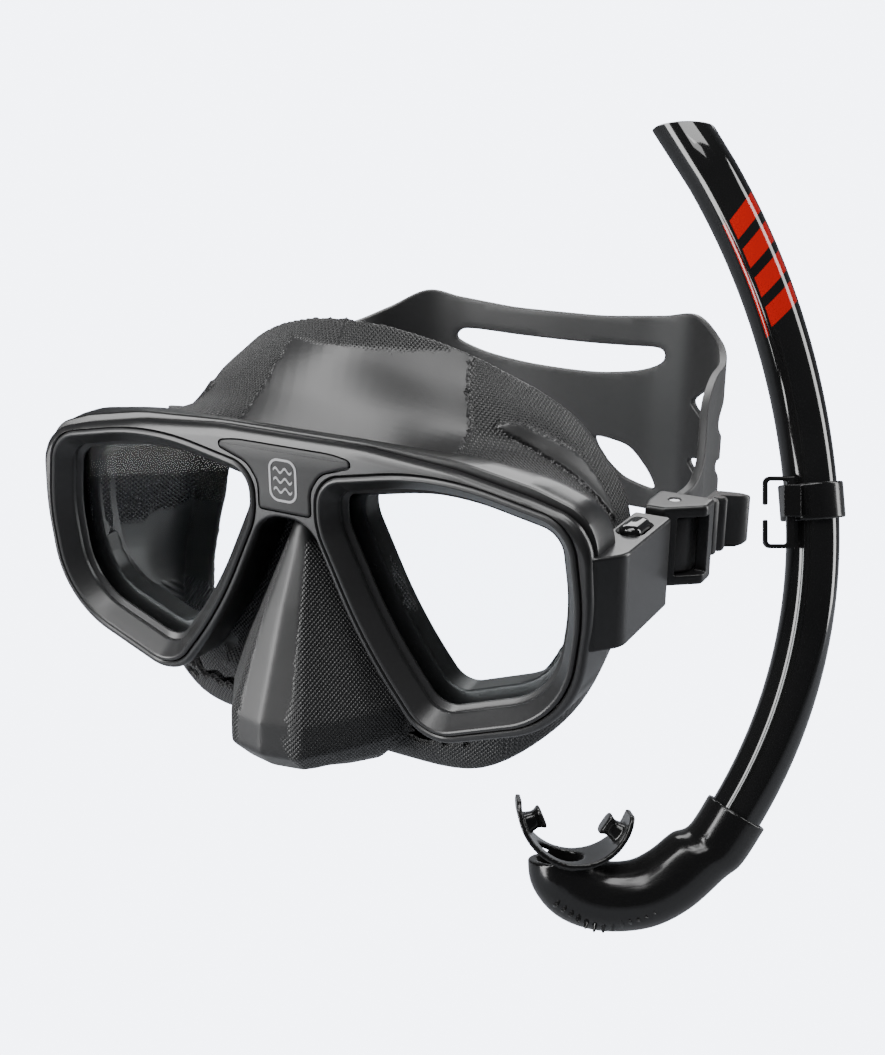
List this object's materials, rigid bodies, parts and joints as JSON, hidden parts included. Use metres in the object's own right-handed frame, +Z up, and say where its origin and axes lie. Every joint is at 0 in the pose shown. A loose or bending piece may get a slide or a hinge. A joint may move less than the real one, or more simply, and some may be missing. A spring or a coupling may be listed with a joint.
{
  "type": "snorkel mask",
  "caption": "Low-volume diving mask with a shared frame, soft face skirt and split head strap on swivelling buckles, with a J-shaped snorkel laid out beside it.",
  "frame": {"origin": "centre of the face seal, on the mask's middle plane, 40 mm behind the frame's front face and 25 mm below the bridge point", "axes": "+X to the wearer's left, +Y backwards through the wearer's head, +Z up"},
  "size_m": [0.181, 0.2954, 0.2943],
  "materials": {
    "frame_plastic": "satin charcoal moulding",
    "bezel_plastic": "satin dark grey",
    "skirt_silicone": "satin black silicone",
    "strap_silicone": "smooth black silicone",
    "buckle_plastic": "satin black",
    "lens_glass": "clear polished",
    "gloss_black": "gloss black",
    "mouth_silicone": "gloss black silicone",
    "steel": "bright"
  },
  "bodies": {
    "mask": {"main_frame": "frame_plastic", "lens_left": "lens_glass", "lens_right": "lens_glass", "bezel_left": "bezel_plastic", "bezel_right": "bezel_plastic", "bridge_plate": "frame_plastic", "skirt": "skirt_silicone", "strap_cradle": "strap_silicone", "buckle_pin_left": "steel", "buckle_pin_right": "steel", "tab_spring_left": "steel", "tab_spring_right": "steel"},
    "buckle_left": {"buckle_left": "buckle_plastic", "buckle_bar_left": "steel", "strap_end_left": "strap_silicone"},
    "buckle_right": {"buckle_right": "buckle_plastic", "buckle_bar_right": "steel", "strap_end_right": "strap_silicone"},
    "release_tab_left": {"release_tab_left": "gloss_black"},
    "release_tab_right": {"release_tab_right": "gloss_black"},
    "snorkel_keeper": {"keeper_band": "mouth_silicone", "keeper_clip": "gloss_black"},
    "snorkel_tube": {"snorkel_tube": "gloss_black"},
    "mouthpiece": {"mouthpiece": "mouth_silicone"}
  },
  "joints": [
    {"name": "buckle_left_swing", "type": "hinge", "parent": "mask", "child": "buckle_left", "pos_m": [0.077, -0.009, 0.008], "axis": [0, 0, -1], "range_deg": [-12, 20]},
    {"name": "release_tab_left_press", "type": "slide", "parent": "mask", "child": "release_tab_left", "axis": [0, 0, -1], "range_m": [0, 0.001], "stiffness_N_per_m": 800, "springref_m": -0.0005, "deforming": ["tab_spring_left"]},
    {"name": "buckle_right_swing", "type": "hinge", "parent": "mask", "child": "buckle_right", "pos_m": [-0.077, -0.009, 0.008], "axis": [0, 0, 1], "range_deg": [-12, 20]},
    {"name": "release_tab_right_press", "type": "slide", "parent": "mask", "child": "release_tab_right", "axis": [0, 0, -1], "range_m": [0, 0.001], "stiffness_N_per_m": 800, "springref_m": -0.0005, "deforming": ["tab_spring_right"]},
    {"name": "snorkel_clip_on", "type": "slide", "parent": "mask", "child": "snorkel_keeper", "axis": [0.1558, -0.9037, 0.3989], "range_m": [0, 0.15]},
    {"name": "keeper_height", "type": "hinge", "parent": "snorkel_keeper", "child": "snorkel_tube", "pos_m": [-0.19051, 0.06264, -0.06473], "axis": [-0.4625, 0.8207, -0.3355], "range_deg": [0, 8]},
    {"name": "mouthpiece_swivel", "type": "hinge", "parent": "snorkel_tube", "child": "mouthpiece", "pos_m": [0.05454, 0.16035, -0.16348], "axis": [-0.3378, -0.5129, -0.7892], "range_deg": [-45, 45]}
  ]
}
